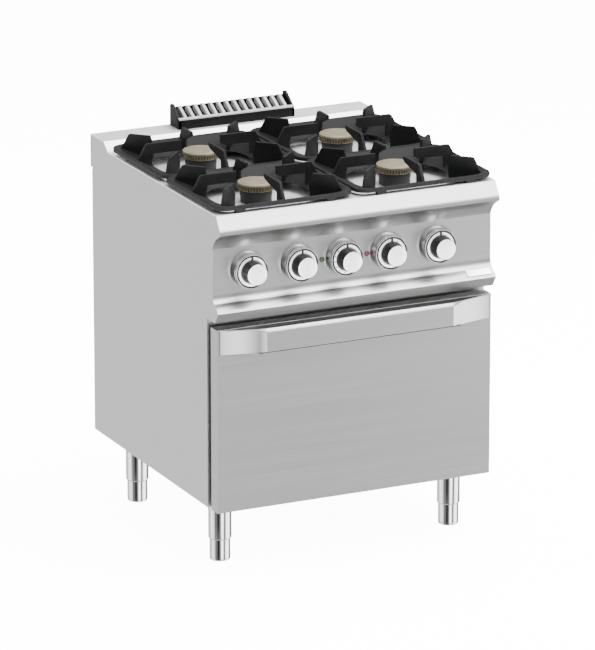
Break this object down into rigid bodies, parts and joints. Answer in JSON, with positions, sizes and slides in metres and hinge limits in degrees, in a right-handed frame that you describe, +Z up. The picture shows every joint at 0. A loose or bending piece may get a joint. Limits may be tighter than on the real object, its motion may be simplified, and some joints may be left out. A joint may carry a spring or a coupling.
{
  "type": "commercial gas range",
  "caption": "Free-standing stainless catering range: gas hob with cast pan supports and knobs on a coved front, over an oven with a drop-down door on legs.",
  "frame": {"origin": "centre of the range's bounding box on the floor", "axes": "+X to the right of a cook facing the controls, +Y towards the back, +Z up"},
  "size_m": [0.7, 0.733, 0.922],
  "materials": {
    "stainless": "fine-brushed stainless steel",
    "galvanised": "plain galvanised sheet",
    "frame_dark": "dark heat-resistant enamel",
    "enamel": "vitreous enamel",
    "seal": "braided glass-fibre gasket",
    "wool": "mineral wool slab",
    "inner_stainless": "satin stainless steel",
    "chrome": "polished chrome plate",
    "foot_steel": "polished stainless steel",
    "cast_iron": "matt black vitreous enamel on cast iron",
    "cap_bronze": "weathered bronze",
    "mixer_alloy": "as-cast alloy",
    "brass": "machined brass",
    "pipe_steel": "bright drawn steel",
    "thermostat_plastic": "moulded plastic",
    "knob_black": "moulded knob with bright face and printed disc",
    "lens_green": "translucent green lens",
    "lens_red": "translucent red lens",
    "plate_light": "plain satin plate"
  },
  "bodies": {
    "cabinet": {"back_panel": "galvanised", "base_tray": "galvanised", "burner_cups": "cast_iron", "burner_mixers": "mixer_alloy", "cable_gland": "thermostat_plastic", "fascia": "stainless", "flue_duct": "galvanised", "foot_bolts": "pipe_steel", "foot_sleeves": "chrome", "front_frame": "frame_dark", "gas_pipes": "pipe_steel", "gas_taps": "brass", "heating_elements": "pipe_steel", "hinge_lugs": "galvanised", "hob_top": "stainless", "knob_collars": "chrome", "lamp_green": "lens_green", "lamp_red": "lens_red", "maker_plate": "plate_light", "oven_insulation": "wool", "oven_liner": "enamel", "oven_seal": "seal", "oven_shelf": "chrome", "oven_thermostat": "thermostat_plastic", "shelf_runners": "chrome", "side_panel_left": "stainless", "side_panel_right": "stainless", "sole_plate": "enamel", "strip_plugs": "stainless", "terminal_box": "galvanised", "thermocouples": "pipe_steel", "top_rails": "galvanised"},
    "door": {"door_outer_panel": "stainless", "door_inner_panel": "inner_stainless", "door_insulation": "wool", "door_handle": "stainless", "hinge_pins": "pipe_steel"},
    "levelling_front_left": {"foot_front_left": "foot_steel"},
    "support_front_left": {"pan_support_front_left": "cast_iron"},
    "cap_front_left": {"burner_cap_front_left": "cap_bronze"},
    "levelling_front_right": {"foot_front_right": "foot_steel"},
    "support_front_right": {"pan_support_front_right": "cast_iron"},
    "cap_front_right": {"burner_cap_front_right": "cap_bronze"},
    "levelling_rear_left": {"foot_rear_left": "foot_steel"},
    "support_rear_left": {"pan_support_rear_left": "cast_iron"},
    "cap_rear_left": {"burner_cap_rear_left": "cap_bronze"},
    "levelling_rear_right": {"foot_rear_right": "foot_steel"},
    "support_rear_right": {"pan_support_rear_right": "cast_iron"},
    "cap_rear_right": {"burner_cap_rear_right": "cap_bronze"},
    "flue_cover": {"flue_grille": "cast_iron"},
    "plunger_1": {"tap_plunger_1": "pipe_steel"},
    "gas_knob_1": {"knob_1": "knob_black"},
    "plunger_2": {"tap_plunger_2": "pipe_steel"},
    "gas_knob_2": {"knob_2": "knob_black"},
    "thermostat_knob": {"knob_3": "knob_black", "thermostat_spindle": "pipe_steel"},
    "plunger_4": {"tap_plunger_4": "pipe_steel"},
    "gas_knob_4": {"knob_4": "knob_black"},
    "plunger_5": {"tap_plunger_5": "pipe_steel"},
    "gas_knob_5": {"knob_5": "knob_black"}
  },
  "joints": [
    {"name": "door_hinge", "type": "hinge", "parent": "cabinet", "child": "door", "pos_m": [0, -0.3045, 0.16], "axis": [1, 0, 0], "range_deg": [0, 90], "stiffness_Nm_per_rad": 8, "springref_deg": -17.19},
    {"name": "foot_height_front_left", "type": "slide", "parent": "cabinet", "child": "levelling_front_left", "axis": [0, 0, -1], "range_m": [-0.03, 0.03]},
    {"name": "support_lift_front_left", "type": "slide", "parent": "cabinet", "child": "support_front_left", "axis": [0, 0, 1], "range_m": [0, 0.15]},
    {"name": "cap_lift_front_left", "type": "slide", "parent": "cabinet", "child": "cap_front_left", "axis": [0, 0, 1], "range_m": [0, 0.06]},
    {"name": "foot_height_front_right", "type": "slide", "parent": "cabinet", "child": "levelling_front_right", "axis": [0, 0, -1], "range_m": [-0.03, 0.03]},
    {"name": "support_lift_front_right", "type": "slide", "parent": "cabinet", "child": "support_front_right", "axis": [0, 0, 1], "range_m": [0, 0.15]},
    {"name": "cap_lift_front_right", "type": "slide", "parent": "cabinet", "child": "cap_front_right", "axis": [0, 0, 1], "range_m": [0, 0.06]},
    {"name": "foot_height_rear_left", "type": "slide", "parent": "cabinet", "child": "levelling_rear_left", "axis": [0, 0, -1], "range_m": [-0.03, 0.03]},
    {"name": "support_lift_rear_left", "type": "slide", "parent": "cabinet", "child": "support_rear_left", "axis": [0, 0, 1], "range_m": [0, 0.15]},
    {"name": "cap_lift_rear_left", "type": "slide", "parent": "cabinet", "child": "cap_rear_left", "axis": [0, 0, 1], "range_m": [0, 0.06]},
    {"name": "foot_height_rear_right", "type": "slide", "parent": "cabinet", "child": "levelling_rear_right", "axis": [0, 0, -1], "range_m": [-0.03, 0.03]},
    {"name": "support_lift_rear_right", "type": "slide", "parent": "cabinet", "child": "support_rear_right", "axis": [0, 0, 1], "range_m": [0, 0.15]},
    {"name": "cap_lift_rear_right", "type": "slide", "parent": "cabinet", "child": "cap_rear_right", "axis": [0, 0, 1], "range_m": [0, 0.06]},
    {"name": "flue_lift", "type": "slide", "parent": "cabinet", "child": "flue_cover", "axis": [0, 0, 1], "range_m": [0, 0.08]},
    {"name": "tap_push_1", "type": "slide", "parent": "cabinet", "child": "plunger_1", "axis": [0, 1, 0], "range_m": [0, 0.006], "stiffness_N_per_m": 500, "springref_m": -0.006},
    {"name": "tap_turn_1", "type": "hinge", "parent": "plunger_1", "child": "gas_knob_1", "pos_m": [-0.262, -0.3375, 0.71], "axis": [0, -1, 0], "range_deg": [0, 180]},
    {"name": "tap_push_2", "type": "slide", "parent": "cabinet", "child": "plunger_2", "axis": [0, 1, 0], "range_m": [0, 0.006], "stiffness_N_per_m": 500, "springref_m": -0.006},
    {"name": "tap_turn_2", "type": "hinge", "parent": "plunger_2", "child": "gas_knob_2", "pos_m": [-0.137, -0.3375, 0.71], "axis": [0, -1, 0], "range_deg": [0, 180]},
    {"name": "thermostat_turn", "type": "hinge", "parent": "cabinet", "child": "thermostat_knob", "pos_m": [-0.025, -0.3375, 0.71], "axis": [0, 1, 0], "range_deg": [0, 300]},
    {"name": "tap_push_4", "type": "slide", "parent": "cabinet", "child": "plunger_4", "axis": [0, 1, 0], "range_m": [0, 0.006], "stiffness_N_per_m": 500, "springref_m": -0.006},
    {"name": "tap_turn_4", "type": "hinge", "parent": "plunger_4", "child": "gas_knob_4", "pos_m": [0.087, -0.3375, 0.71], "axis": [0, -1, 0], "range_deg": [0, 180]},
    {"name": "tap_push_5", "type": "slide", "parent": "cabinet", "child": "plunger_5", "axis": [0, 1, 0], "range_m": [0, 0.006], "stiffness_N_per_m": 500, "springref_m": -0.006},
    {"name": "tap_turn_5", "type": "hinge", "parent": "plunger_5", "child": "gas_knob_5", "pos_m": [0.211, -0.3375, 0.71], "axis": [0, -1, 0], "range_deg": [0, 180]}
  ]
}
